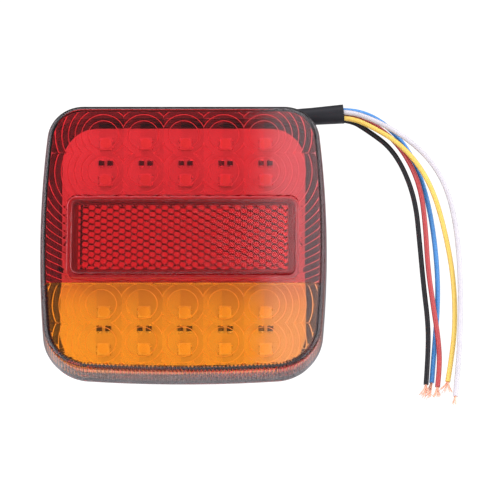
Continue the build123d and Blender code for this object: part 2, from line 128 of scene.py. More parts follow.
# Place on the wire circle in degrees, length of the bared end in mm, and the route in mm
LEADS = {
    "blue": (90, 7.0, [
        (71.2, -5.0, 55.4), (79.6, -4.3, 49.0), (87.2, -4.2, 37.6), (92.0, -4.4, 21.5),
        (94.6, -4.6, 2.5), (95.3, -4.5, -16.5), (93.6, -4.2, -35.5), (92.3, -4.2, -49.9),
    ]),
    "white": (162, 4.2, [
        (72.0, -8.9, 52.2), (82.6, -9.0, 46.0), (92.8, -9.0, 36.6), (99.5, -9.0, 23.8),
        (102.7, -9.0, 6.0), (103.4, -9.0, -14.0), (102.9, -9.0, -32.5), (101.9, -9.0, -45.5),
        (100.7, -9.0, -56.4),
    ]),
    "yellow": (234, 5.0, [
        (71.6, -8.3, 49.4), (81.0, -8.5, 43.2), (88.9, -8.4, 34.0), (94.4, -8.0, 22.6),
        (98.2, -7.4, 7.5), (101.0, -7.0, -10.0), (101.3, -6.9, -27.5), (99.9, -7.0, -40.0),
        (98.1, -7.0, -50.3),
    ]),
    "red": (18, 4.8, [
        (71.5, -5.9, 51.8), (79.4, -6.2, 45.2), (85.4, -6.3, 36.0), (89.4, -6.4, 24.6),
        (90.8, -6.5, 10.0), (91.4, -6.5, -6.0), (93.3, -6.5, -21.5), (95.0, -6.5, -34.5),
        (95.3, -6.5, -44.0), (94.3, -6.5, -52.2),
    ]),
    "black": (306, 5.6, [
        (70.4, -5.6, 48.4), (77.9, -5.6, 42.4), (83.5, -5.6, 32.6), (87.3, -5.6, 19.8),
        (88.5, -5.6, 4.5), (89.7, -5.6, -12.0), (91.3, -5.6, -28.0), (91.0, -5.6, -40.0),
        (90.1, -5.6, -51.0),
    ]),
}


def lead_points(angle, route):
    """Route points of one lead, from the floor of the sleeve's bore to its cut end."""
    offset = (Vector((0, 1, 0)) * cos(radians(angle)) + cable_up * sin(radians(angle))) * WIRE_CIRCLE
    start = SLEEVE_END + offset
    points = [start - cable_direction * SLEEVE_BORE_DEPTH, start + cable_direction * LEAVING]
    return points + [Vector(point) * MM for point in route]


def add_lead(colour, points):
    """One insulated lead as a single smooth NURBS curve."""
    curve = bpy.data.curves.new(f"lead_{colour}", "CURVE")
    curve.dimensions = "3D"
    curve.bevel_depth = WIRE_DIAMETER / 2
    curve.bevel_resolution = 6
    curve.resolution_u = 12
    curve.use_fill_caps = True
    spline = curve.splines.new("NURBS")
    spline.points.add(len(points) - 1)
    for control, point in zip(spline.points, points):
        control.co = (*point, 1)
    spline.order_u = 3
    spline.use_endpoint_u = True
    lead = bpy.data.objects.new(f"lead_{colour}", curve)
    bpy.context.collection.objects.link(lead)
    return lead


def add_strands(colour, end, direction, length):
    """Fine bare strands that leave the cut end of a lead and fan out a little."""
    dice = random.Random(f"strands {colour}")
    strand_count = 16
    strand_radius = 0.1 * MM
    bundle_radius = 0.42 * MM
    rooted = 0.6 * MM
    fanning = 0.42
    spread = {"black": 1.5, "yellow": 1.2, "blue": 0.6, "red": 0.6, "white": 0.35}[colour]
    lean = {"black": -0.15, "yellow": 0.1, "blue": 0.75, "red": -0.1, "white": 0.1}[colour]
    curve = bpy.data.curves.new(f"strands_{colour}", "CURVE")
    curve.dimensions = "3D"
    curve.bevel_depth = strand_radius
    curve.bevel_resolution = 2
    curve.use_fill_caps = True
    across = Vector((0, 1, 0))
    sideways = direction.cross(across).normalized() * -1
    for number in range(strand_count):
        turn = 2 * pi * number / strand_count + dice.uniform(-0.3, 0.3)
        place = bundle_radius * sqrt(dice.uniform(0.05, 1))
        start = end + (sideways * cos(turn) + across * sin(turn)) * place - direction * rooted
        side = sideways * (cos(turn) * spread + lean) + across * sin(turn) * spread * 0.6
        if colour == "black":
            side = sideways * (0.75 if number % 2 else -1.0) * dice.uniform(0.5, 1.2) + side * 0.2
        reach = length * dice.uniform(0.75, 1.0)
        spline = curve.splines.new("BEZIER")
        spline.bezier_points.add(2)
        fan = side * fanning * reach
        middle = start + direction * reach * 0.45 + fan * 0.21
        stations = (start, middle, start + direction * reach + fan)
        for control, point in zip(spline.bezier_points, stations):
            control.co = point
            control.handle_left_type = "AUTO"
            control.handle_right_type = "AUTO"
    strands = bpy.data.objects.new(f"strands_{colour}", curve)
    bpy.context.collection.objects.link(strands)
    return strands


leads = {}
strands = {}
for colour, (angle, bared, route) in LEADS.items():
    points = lead_points(angle, route)
    leads[colour] = add_lead(colour, points)
    end_direction = (points[-1] - points[-2]).normalized()
    strands[colour] = add_strands(colour, points[-1], end_direction, bared * MM)


# ---------------------------------------------------------------- node helpers
ACRYLIC_IOR = 1.49


def new_material(name):
    """Empty node material with a Principled shader wired to its output."""
    material = bpy.data.materials.new(name)
    material.use_nodes = True
    tree = material.node_tree
    tree.nodes.clear()
    output = tree.nodes.new("ShaderNodeOutputMaterial")
    shader = tree.nodes.new("ShaderNodeBsdfPrincipled")
    tree.links.new(shader.outputs["BSDF"], output.inputs["Surface"])
    return material, tree, shader, output


def object_noise(tree, scale, detail=4.0, roughness=0.55):
    """Noise over the object's own coordinates; scale is in cells per metre."""
    place = tree.nodes.new("ShaderNodeTexCoord")
    noise = tree.nodes.new("ShaderNodeTexNoise")
    noise.inputs["Scale"].default_value = scale
    noise.inputs["Detail"].default_value = detail
    noise.inputs["Roughness"].default_value = roughness
    tree.links.new(place.outputs["Object"], noise.inputs["Vector"])
    return noise.outputs["Fac"]


def spread(tree, value, low, high, from_low=0.3, from_high=0.7):
    """Maps a noise value to the range low to high."""
    node = tree.nodes.new("ShaderNodeMapRange")
    node.inputs["From Min"].default_value = from_low
    node.inputs["From Max"].default_value = from_high
    node.inputs["To Min"].default_value = low
    node.inputs["To Max"].default_value = high
    tree.links.new(value, node.inputs["Value"])
    return node.outputs["Result"]


def blend_colours(tree, value, first, second):
    """Mixes two colours by a value from 0 to 1."""
    node = tree.nodes.new("ShaderNodeMix")
    node.data_type = "RGBA"
    node.inputs["A"].default_value = (*first, 1)
    node.inputs["B"].default_value = (*second, 1)
    tree.links.new(value, node.inputs["Factor"])
    return node.outputs["Result"]


def bump(tree, shader, height, strength, distance):
    """Feeds a height into the shader's normal."""
    node = tree.nodes.new("ShaderNodeBump")
    node.inputs["Strength"].default_value = strength
    node.inputs["Distance"].default_value = distance
    tree.links.new(height, node.inputs["Height"])
    tree.links.new(node.outputs["Normal"], shader.inputs["Normal"])


def solid_material(name, colour, shade, roughness, grain, grain_height, metallic=0.0, coat=0.0, specular=0.5):
    """Opaque material: two close colours, uneven gloss and a fine surface grain.

    grain is the number of grains per metre; roughness is its lowest and highest value."""
    colour_scale = grain * 0.12
    gloss_scale = grain * 0.35
    material, tree, shader, output = new_material(name)
    patches = spread(tree, object_noise(tree, colour_scale, 5), 0, 1)
    tree.links.new(blend_colours(tree, patches, colour, shade), shader.inputs["Base Color"])
    gloss = spread(tree, object_noise(tree, gloss_scale, 6), *roughness)
    tree.links.new(gloss, shader.inputs["Roughness"])
    shader.inputs["Metallic"].default_value = metallic
    shader.inputs["Coat Weight"].default_value = coat
    shader.inputs["Specular IOR Level"].default_value = specular
    bump(tree, shader, object_noise(tree, grain, 3), 0.35, grain_height)
    return material


def clear_material(name, density, taken, roughness=(0.015, 0.05), matt_steps=False):
    """Clear tinted plastic. taken is what a metre at density 1 absorbs of red, green and blue.

    With matt_steps, faces marked matt scatter some light, as the edges of moulded steps do."""
    step_transmission = 0.15
    step_roughness = 0.4
    material, tree, shader, output = new_material(name)
    shader.inputs["Base Color"].default_value = (1, 1, 1, 1)
    shader.inputs["Transmission Weight"].default_value = 1
    shader.inputs["IOR"].default_value = ACRYLIC_IOR
    gloss = spread(tree, object_noise(tree, 260, 6, 0.65), *roughness)
    if matt_steps:
        marked = tree.nodes.new("ShaderNodeAttribute")
        marked.attribute_name = "matt"
        clearness = spread(tree, marked.outputs["Fac"], 1, step_transmission, 0, 1)
        tree.links.new(clearness, shader.inputs["Transmission Weight"])
        rough = tree.nodes.new("ShaderNodeMath")
        rough.operation = "MULTIPLY_ADD"
        rough.inputs[1].default_value = step_roughness
        tree.links.new(marked.outputs["Fac"], rough.inputs[0])
        tree.links.new(gloss, rough.inputs[2])
        gloss = rough.outputs[0]
    tree.links.new(gloss, shader.inputs["Roughness"])
    bump(tree, shader, object_noise(tree, 45, 2), 0.2, 0.00004)
    absorption = tree.nodes.new("ShaderNodeVolumeAbsorption")
    absorption.inputs["Color"].default_value = (*[1 - share for share in taken], 1)
    absorption.inputs["Density"].default_value = density
    tree.links.new(absorption.outputs["Volume"], output.inputs["Volume"])
    return material


RED_PLASTIC = clear_material("red_lens", 800, (0.055, 0.84, 0.78), matt_steps=True)
AMBER_PLASTIC = clear_material("amber_lens", 800, (0.004, 0.25, 1.0), matt_steps=True)
REFLECTOR_PLASTIC = clear_material("red_reflector", 900, (0.2, 1.0, 0.95), roughness=(0.05, 0.1))
BLACK_PLASTIC = solid_material(
    "black_plastic", (0.036, 0.035, 0.037), (0.05, 0.048, 0.05), (0.36, 0.55), 2600, 0.00003
)
SOLID_RED = solid_material(
    "red_plastic", (0.5, 0.008, 0.012), (0.58, 0.014, 0.018), (0.4, 0.6), 1800, 0.00002
)
RUBBER = solid_material("black_rubber", (0.016, 0.016, 0.017), (0.03, 0.03, 0.03), (0.55, 0.8), 1800, 0.00004)
SLEEVE = solid_material(
    "black_sleeve", (0.004, 0.0045, 0.006), (0.007, 0.0075, 0.01), (0.4, 0.55), 900, 0.00005, specular=0.25
)
BOARD = solid_material("white_board", (0.76, 0.76, 0.74), (0.72, 0.73, 0.72), (0.25, 0.42), 900, 0.00001)
STEEL = solid_material(
    "zinc_steel", (0.62, 0.61, 0.58), (0.72, 0.72, 0.74), (0.22, 0.45), 2400, 0.00001, metallic=1.0
)
SOLDER = solid_material(
    "solder", (0.6, 0.6, 0.62), (0.75, 0.75, 0.76), (0.15, 0.35), 1500, 0.00002, metallic=1.0
)
PACKAGE = solid_material("led_package", (0.95, 0.95, 0.92), (0.9, 0.9, 0.86), (0.3, 0.45), 1500, 0.00001)
RESIN = solid_material(
    "led_resin", (0.93, 0.9, 0.74), (0.88, 0.84, 0.66), (0.08, 0.2), 900, 0.00001, coat=0.6
)
CHIP = solid_material("chip_black", (0.02, 0.02, 0.022), (0.05, 0.05, 0.055), (0.3, 0.5), 2500, 0.00001)
COPPER = solid_material(
    "copper", (0.75, 0.36, 0.22), (0.86, 0.52, 0.38), (0.2, 0.4), 3000, 0.00001, metallic=1.0
)
INSULATION = {
    "blue": ((0.03, 0.17, 0.42), (0.04, 0.2, 0.47)),
    "white": ((0.39, 0.38, 0.39), (0.44, 0.43, 0.44)),
    "yellow": ((0.56, 0.38, 0.06), (0.6, 0.42, 0.075)),
    "red": ((0.29, 0.024, 0.024), (0.34, 0.03, 0.03)),
    "black": ((0.003, 0.003, 0.0035), (0.006, 0.006, 0.007)),
}


def assign(thing, material):
    """Gives every material slot of a piece the same material."""
    data = thing.data
    if data.materials:
        for number in range(len(data.materials)):
            data.materials[number] = material
    else:
        data.materials.append(material)


for colour, (angle, bared, route) in LEADS.items():
    lead = leads[colour]
    specular = 0.25 if colour == "black" else 0.5
    insulation = solid_material(
        f"{colour}_insulation", *INSULATION[colour], (0.24, 0.4), 1200, 0.00003, specular=specular
    )
    assign(lead, insulation)
    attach(lead, "lamp")
    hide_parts(f"wire_{colour}")
    assign(strands[colour], COPPER)
    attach(strands[colour], "lamp")
    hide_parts(f"core_{colour}")

NODE_MATERIALS = {
    "housing": BLACK_PLASTIC, "reflector_tray": SOLID_RED, "lens_seal": RUBBER,
    "circuit_board": BOARD, "board_screws": STEEL, "solder_joints": SOLDER,
    "inner_leads": RUBBER, "cable_grommet": RUBBER, "cable_sleeve": SLEEVE,
    "bolt_left": STEEL, "bolt_right": STEEL, "flat_washer_left": STEEL, "flat_washer_right": STEEL,
    "spring_washer_left": STEEL, "spring_washer_right": STEEL, "nut_left": STEEL, "nut_right": STEEL,
}
for node, material in NODE_MATERIALS.items():
    assign(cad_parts[node], material)


# ---------------------------------------------------------------- lamp outline
def circle_through(first, second, third):
    """Centre and radius of the circle through three points."""
    (ax, ay), (bx, by), (cx, cy) = first, second, third
    twice_area = 2 * (ax * (by - cy) + bx * (cy - ay) + cx * (ay - by))
    a_square, b_square, c_square = ax * ax + ay * ay, bx * bx + by * by, cx * cx + cy * cy
    x = (a_square * (by - cy) + b_square * (cy - ay) + c_square * (ay - by)) / twice_area
    y = (a_square * (cx - bx) + b_square * (ax - cx) + c_square * (bx - ax)) / twice_area
    return (x, y), hypot(ax - x, ay - y)


def circles_cross(first, first_radius, second, second_radius):
    """The crossing of two circles that lies lower and to the right."""
    dx, dy = second[0] - first[0], second[1] - first[1]
    apart = hypot(dx, dy)
    along = (apart**2 + first_radius**2 - second_radius**2) / (2 * apart)
    across = sqrt(first_radius**2 - along**2)
    ux, uy = dx / apart, dy / apart
    options = [
        (first[0] + ux * along - side * uy * across, first[1] + uy * along + side * ux * across)
        for side in (1, -1)
    ]
    return max(options, key=lambda point: point[0] - point[1])


def right_half_arcs():
    """Arcs of the outline's right half, from the top middle to the bottom middle.

    Each is (centre, radius, first angle, last angle)."""
    side_centre, side_radius = circle_through(
        (TOP_CORNER_X, TOP_Z), (HALF_WIDTH, 0), (BOTTOM_CORNER_X, BOTTOM_CORNER_Z))
    bottom_centre, bottom_radius = circle_through(
        (-BOTTOM_CORNER_X, BOTTOM_CORNER_Z), (0, BOTTOM_Z), (BOTTOM_CORNER_X, BOTTOM_CORNER_Z))
    top_z = TOP_Z - TOP_CORNER_RADIUS
    reach = side_radius - TOP_CORNER_RADIUS
    top_x = side_centre[0] + sqrt(reach**2 - (top_z - side_centre[1]) ** 2)
    top_turn = asin((top_z - side_centre[1]) / reach)
    corner = circles_cross(
        side_centre, side_radius - BOTTOM_CORNER_RADIUS, bottom_centre, bottom_radius - BOTTOM_CORNER_RADIUS)
    low_turn = atan2(corner[1] - side_centre[1], corner[0] - side_centre[0])
    bottom_turn = atan2(corner[1] - bottom_centre[1], corner[0] - bottom_centre[0])
    arcs = [
        ((top_x, top_z), TOP_CORNER_RADIUS, pi / 2, top_turn),
        (side_centre, side_radius, top_turn, low_turn),
        (corner, BOTTOM_CORNER_RADIUS, low_turn, bottom_turn),
        (bottom_centre, bottom_radius, bottom_turn, -pi / 2),
    ]
    return top_x, arcs


def lens_outline(step, fine_step, fine_below):
    """Points round the outline as (x, z, normal x, normal z, distance); spacing is fine below a height."""
    top_x, arcs = right_half_arcs()
    top_steps = 40
    half = [(top_x * number / top_steps, TOP_Z, 0.0, 1.0) for number in range(top_steps)]
    for centre, radius, first, last in arcs:
        angle = first
        while angle > last + 1e-9:
            x, z = centre[0] + radius * cos(angle), centre[1] + radius * sin(angle)
            half.append((x, z, cos(angle), sin(angle)))
            spacing = fine_step if z < fine_below else step
            angle = max(last, angle - spacing / radius)
    half.append((0.0, BOTTOM_Z, 0.0, -1.0))
    points = half + [(-x, z, -nx, nz) for x, z, nx, nz in reversed(half[1:-1])]
    distance = 0.0
    measured = []
    for number, (x, z, nx, nz) in enumerate(points):
        if number:
            distance += hypot(x - points[number - 1][0], z - points[number - 1][1])
        measured.append((x, z, nx, nz, distance))
    return measured


def rounded_rectangle(width, height, radius, steps=6):
    """Points round a rectangle with round corners."""
    points = []
    for corner, (sx, sz) in enumerate(((1, 1), (-1, 1), (-1, -1), (1, -1))):
        for step in range(steps + 1):
            angle = pi / 2 * (corner + step / steps)
            points.append((
                sx * (width / 2 - radius) + radius * cos(angle),
                sz * (height / 2 - radius) + radius * sin(angle),
            ))
    return points


# ---------------------------------------------------------------- optic rings
def ring_profile():
    """Stations (radius, height) from the middle of an optic outwards: a dome, then sloping rings."""
    stations = []
    for share in (0, 0.25, 0.5, 0.75, 0.9, 1):
        stations.append((share * OPTIC_RADIUS, OPTIC_RISE * (1 - share**2) + RING_FOOT))
    radius = OPTIC_RADIUS
    while radius < OPTIC_REACH:
        stations.append((radius + RISER_WIDTH, RING_RISE))
        radius += RING_PITCH
        stations.append((radius, RING_FOOT))
    return stations


RINGS = ring_profile()


def ring_height(radius):
    """Height of the optic's relief at a radius."""
    for (near, near_height), (far, far_height) in zip(RINGS, RINGS[1:]):
        if radius <= far:
            return near_height + (far_height - near_height) * (radius - near) / (far - near)
    return 0.0


def clip(polygon, nx, nz, limit):
    """Part of a convex polygon where nx * x + nz * z is at most limit."""
    kept = []
    for (ax, az), (bx, bz) in zip(polygon, polygon[1:] + polygon[:1]):
        a_over, b_over = nx * ax + nz * az - limit, nx * bx + nz * bz - limit
        if a_over <= 0:
            kept.append((ax, az))
        if (a_over < 0 < b_over) or (b_over < 0 < a_over):
            share = a_over / (a_over - b_over)
            kept.append((ax + (bx - ax) * share, az + (bz - az) * share))
    return kept


def span(polygon, origin, angle):
    """Nearest and farthest distance at which a ray crosses a convex polygon, or None."""
    ux, uz = cos(angle), sin(angle)
    hits = []
    for (ax, az), (bx, bz) in zip(polygon, polygon[1:] + polygon[:1]):
        ex, ez = bx - ax, bz - az
        turn = ux * ez - uz * ex
        if abs(turn) < 1e-15:
            continue
        px, pz = ax - origin[0], az - origin[1]
        distance = (px * ez - pz * ex) / turn
        share = (px * uz - pz * ux) / turn
        if -1e-7 <= share <= 1 + 1e-7 and distance > 0:
            hits.append(distance)
    return (min(hits), max(hits)) if hits else None


def nearer_side(polygon, led, neighbours):
    """Part of a convex polygon that is nearer to this LED than to its neighbours."""
    for other in neighbours:
        nx, nz = other[0] - led[0], other[1] - led[1]
        limit = (other[0] ** 2 + other[1] ** 2 - led[0] ** 2 - led[1] ** 2) / 2
        polygon = clip(polygon, nx, nz, limit)
    return polygon


def optic_angles(led, corners):
    """Directions of the spokes: evenly spread, and one through every corner."""
    regular = 96
    marks = [atan2(z - led[1], x - led[0]) for x, z in corners]
    marks += [2 * pi * number / regular - pi for number in range(regular)]
    angles = []
    for angle in sorted(marks):
        if not angles or angle - angles[-1] > 1e-7:
            angles.append(angle)
    return angles


def add_optic(mesh, led, border, neighbours, block):
    """Relief of one LED's optic: spokes with the ring stations, out to its neighbours and to the border.

    block is a convex outline that the relief leaves free, or None."""
    cell = nearer_side(border, led, neighbours)
    blocked = nearer_side(block, led, neighbours) if block else []
    matt = mesh.faces.layers.float["matt"]
    touching = 1e-8

    def reaches(angle):
        """Where a spoke ends, whether it ends at the border, and where it enters and leaves the block."""
        end = span(cell, led, angle)[1]
        at_border = span(border, led, angle)[1] <= end + touching
        crossing = span(block, led, angle) if block else None
        if crossing and crossing[0] > end + touching:
            crossing = None
        return end, at_border, crossing

    def stations(angle, start, stop, flat_start, flat_stop):
        """Vertices at the ring stations, held between start and stop."""
        places = []
        for radius, height in RINGS:
            radius = min(max(radius, start), stop)
            flat = (flat_start and radius <= start + touching) or (flat_stop and radius >= stop - touching)
            height = 0 if flat else ring_height(radius)
            x, z = led[0] + radius * cos(angle), led[1] + radius * sin(angle)
            places.append((x, -(INNER_FACE - height), z))
        return places

    def add_strip(here, there):
        for number in range(len(RINGS) - 1):
            corners = []
            for place in (here[number], here[number + 1], there[number + 1], there[number]):
                if all((Vector(place) - Vector(other)).length > touching for other in corners):
                    corners.append(place)
            if len(corners) > 2:
                face = mesh.faces.new([mesh.verts.new(place) for place in corners])
                face[matt] = float(RINGS[number][1] < RINGS[number + 1][1])

    angles = optic_angles(led, cell + blocked)
    for here, there in zip(angles, angles[1:] + angles[:1]):
        ends = [reaches(here), reaches(there)]
        crossings = [end[2] for end in ends]
        if not any(crossings):
            strip = [stations(angle, 0, end[0], False, end[1]) for angle, end in zip((here, there), ends)]
            add_strip(*strip)
            continue
        near, far = [], []
        for angle, (end, at_border, crossing) in zip((here, there), ends):
            enter, leave = crossing or next(pair for pair in crossings if pair)
            enter, leave = min(enter, end), min(leave, end)
            near.append(stations(angle, 0, enter, False, bool(crossing)))
            covered = bool(crossing) and leave >= end - touching
            far.append(stations(angle, leave, end, bool(crossing), at_border or covered))
        add_strip(*near)
        add_strip(*far)


# ---------------------------------------------------------------- mesh helpers
def loop_at(mesh, points, depth):
    """Closed ring of vertices at one depth."""
    return [mesh.verts.new((x, -depth, z)) for x, z in points]


def bridge(mesh, first, second):
    """Quads between two rings with the same number of vertices."""
    for number in range(len(first)):
        after = (number + 1) % len(first)
        mesh.faces.new((first[number], first[after], second[after], second[number]))


def fill_between(mesh, outer, inner):
    """Triangles between two rings round the origin that differ in their number of vertices."""
    def turn(vertex):
        return atan2(vertex.co.z, vertex.co.x) % (2 * pi)

    outer, inner = sorted(outer, key=turn), sorted(inner, key=turn)
    outer_number = inner_number = 0
    while outer_number + inner_number < len(outer) + len(inner):
        outer_here, outer_next = (outer[(outer_number + ahead) % len(outer)] for ahead in (0, 1))
        inner_here, inner_next = (inner[(inner_number + ahead) % len(inner)] for ahead in (0, 1))
        outer_due = turn(outer_next) + 2 * pi * (outer_number + 1 >= len(outer))
        inner_due = turn(inner_next) + 2 * pi * (inner_number + 1 >= len(inner))
        if inner_number >= len(inner) or (outer_number < len(outer) and outer_due <= inner_due):
            mesh.faces.new((outer_here, outer_next, inner_here))
            outer_number += 1
        else:
            mesh.faces.new((outer_here, inner_next, inner_here))
            inner_number += 1


def loop_edges(mesh, ring):
    """Edges of a ring of vertices."""
    edges = []
    for number, vertex in enumerate(ring):
        pair = (vertex, ring[(number + 1) % len(ring)])
        edges.append(mesh.edges.get(pair) or mesh.edges.new(pair))
    return edges


def weld_open_edges(mesh):
    """Splits each open edge where another open vertex lies on it, then merges what meets."""
    tolerance = 2e-7
    bmesh.ops.remove_doubles(mesh, verts=mesh.verts, dist=1e-6)
    open_edges = [edge for edge in mesh.edges if len(edge.link_faces) == 1]
    open_verts = {vertex for edge in open_edges for vertex in edge.verts}
    for edge in open_edges:
        start, end = edge.verts
        line = end.co - start.co
        length = line.length
        if length < 4 * tolerance:
            continue
        inside = []
        for vertex in open_verts:
            along = (vertex.co - start.co).dot(line) / length
            if 4 * tolerance < along < length - 4 * tolerance:
                foot = start.co + line * (along / length)
                if (vertex.co - foot).length < tolerance * 5:
                    inside.append((along, vertex.co.copy()))
        piece, origin = edge, start
        done = 0.0
        for along, place in sorted(inside, key=lambda item: item[0]):
            share = (along - done) / (length - done)
            piece, middle = bmesh.utils.edge_split(piece, origin, share)
            middle.co = place
            origin = middle
            ahead = [
                link for link in middle.link_edges
                if len(link.link_faces) == 1 and (link.other_vert(middle).co - place).dot(line) > 0
            ]
            rest = length - along + 1e-9
            piece = next(link for link in ahead if (link.other_vert(middle).co - end.co).length < rest)
            done = along
    bmesh.ops.remove_doubles(mesh, verts=mesh.verts, dist=1e-6)


def finish_mesh(mesh, name, sharp_angle):
    """Turns a bmesh into an object, smooth but for its flat front and the edges above an angle."""
    bmesh.ops.dissolve_degenerate(mesh, dist=1e-7, edges=mesh.edges)
    bmesh.ops.recalc_face_normals(mesh, faces=mesh.faces)
    for face in mesh.faces:
        face.smooth = not all(abs(vertex.co.y + LENS_FRONT) < 1e-7 for vertex in face.verts)
    for edge in mesh.edges:
        if len(edge.link_faces) == 2 and edge.calc_face_angle(0) > sharp_angle:
            edge.smooth = False
    data = bpy.data.meshes.new(name)
    mesh.to_mesh(data)
    mesh.free()
    piece = bpy.data.objects.new(name, data)
    bpy.context.collection.objects.link(piece)
    return piece


# ---------------------------------------------------------------- lenses
EDGE_STEPS = 7
OUTLINE_STEP = 1.2 * MM
FLUTES_ABOVE_SEAM = 3 * MM


def outer_rings(mesh, outline):
    """Outside of the lens cup: rim, drafted wall and rounded front edge. Returns the first and last ring."""
    wall_end = LENS_FRONT - LENS_EDGE
    sections = [(0.0, LENS_RIM)]
    wall_inset = (wall_end - LENS_RIM) * LENS_SLOPE
    for step in range(EDGE_STEPS + 1):
        angle = pi / 2 * step / EDGE_STEPS
        sections.append((wall_inset + LENS_EDGE * (1 - cos(angle)), wall_end + LENS_EDGE * sin(angle)))
    rings = []
    for inset, depth in sections:
        ring = [(x - nx * inset, z - nz * inset) for x, z, nx, nz, distance in outline]
        rings.append(loop_at(mesh, ring, depth))
    for first, second in zip(rings, rings[1:]):
        bridge(mesh, first, second)
    return rings[0], rings[-1]


def inner_rings(mesh, outline, flute_height):
    """Inside of the cup's wall, fluted from the rim to the face. Returns its first ring and last outline."""
    edge = 0.2 * MM
    rings = []
    for extra, depth in ((0.0, LENS_RIM), (0.0, INNER_FACE - edge), (edge * 0.3, INNER_FACE - edge * 0.3)):
        ring = []
        for x, z, nx, nz, distance in outline:
            flute = flute_height * abs(sin(pi * distance / FLUTE_PITCH))
            inset = LENS_WALL + (depth - LENS_RIM) * LENS_SLOPE + extra + flute
            ring.append((x - nx * inset, z - nz * inset))
        rings.append(loop_at(mesh, ring, depth))
    border = []
    for x, z, nx, nz, distance in outline:
        inset = LENS_WALL + (INNER_FACE - LENS_RIM) * LENS_SLOPE + edge + flute_height
        border.append((x - nx * inset, z - nz * inset))
    rings.append(loop_at(mesh, border, INNER_FACE))
    for first, second in zip(rings, rings[1:]):
        bridge(mesh, first, second)
    return rings[0], border


def led_places(middle_z):
    """Centres of one lens's ten LEDs."""
    return [
        (column * COLUMN_PITCH, middle_z + row * ROW_PITCH / 2)
        for row in (1, -1) for column in range(-2, 3)
    ]


def build_lens(name, above_seam, rows_z, fluted, windowed):
    """One lens moulding as a closed mesh, cut off at the seam."""
    mesh = bmesh.new()
    mesh.faces.layers.float.new("matt")
    fine = FLUTE_PITCH / 4 if fluted else OUTLINE_STEP
    outline = lens_outline(OUTLINE_STEP, fine, SEAM_Z + FLUTES_ABOVE_SEAM)
    rim, front = outer_rings(mesh, outline)
    inner_rim, border = inner_rings(mesh, outline, FLUTE_HEIGHT if fluted else 0.0)
    bridge(mesh, rim, inner_rim)
    block = None
    if windowed:
        mouth = loop_at(mesh, rounded_rectangle(*WINDOW), LENS_FRONT)
        wall_foot = loop_at(mesh, rounded_rectangle(*WINDOW), LEDGE_FRONT)
        lip_top = loop_at(mesh, rounded_rectangle(*LEDGE_OPENING), LEDGE_FRONT)
        lip_foot = loop_at(mesh, rounded_rectangle(*LEDGE_OPENING), INNER_FACE + CONTACT_GAP)
        land = loop_at(mesh, rounded_rectangle(*TRAY_LAND), INNER_FACE + CONTACT_GAP)
        block = rounded_rectangle(*TRAY_SEAT)
        seat = loop_at(mesh, block, INNER_FACE)
        chain = (mouth, wall_foot, lip_top, lip_foot, land, seat)
        for first, second in zip(chain, chain[1:]):
            bridge(mesh, first, second)
        fill_between(mesh, front, mouth)
    else:
        mesh.faces.new(front)
    sign = 1 if above_seam else -1
    cut_z = SEAM_Z + sign * SEAM_GAP
    everything = mesh.verts[:] + mesh.edges[:] + mesh.faces[:]
    bmesh.ops.bisect_plane(
        mesh, geom=everything, plane_co=(0, 0, cut_z), plane_no=(0, 0, -sign), clear_outer=True, dist=1e-9)
    border = clip(border, 0, -sign, -sign * cut_z)
    leds = led_places(rows_z)
    for led in leds:
        add_optic(mesh, led, border, [other for other in leds if other != led], block)
    weld_open_edges(mesh)
    seam_edges = [edge for edge in mesh.edges if len(edge.link_faces) == 1]
    bmesh.ops.triangle_fill(mesh, edges=seam_edges, use_beauty=True)
    return finish_mesh(mesh, name, radians(24))


lens_red = build_lens("lens_red_optics", True, RED_ROWS_Z, False, True)
assign(lens_red, RED_PLASTIC)
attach(lens_red, "lamp")
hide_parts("lens_red")

lens_amber = build_lens("lens_amber_optics", False, AMBER_ROWS_Z, True, False)
assign(lens_amber, AMBER_PLASTIC)
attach(lens_amber, "lamp")
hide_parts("lens_amber")


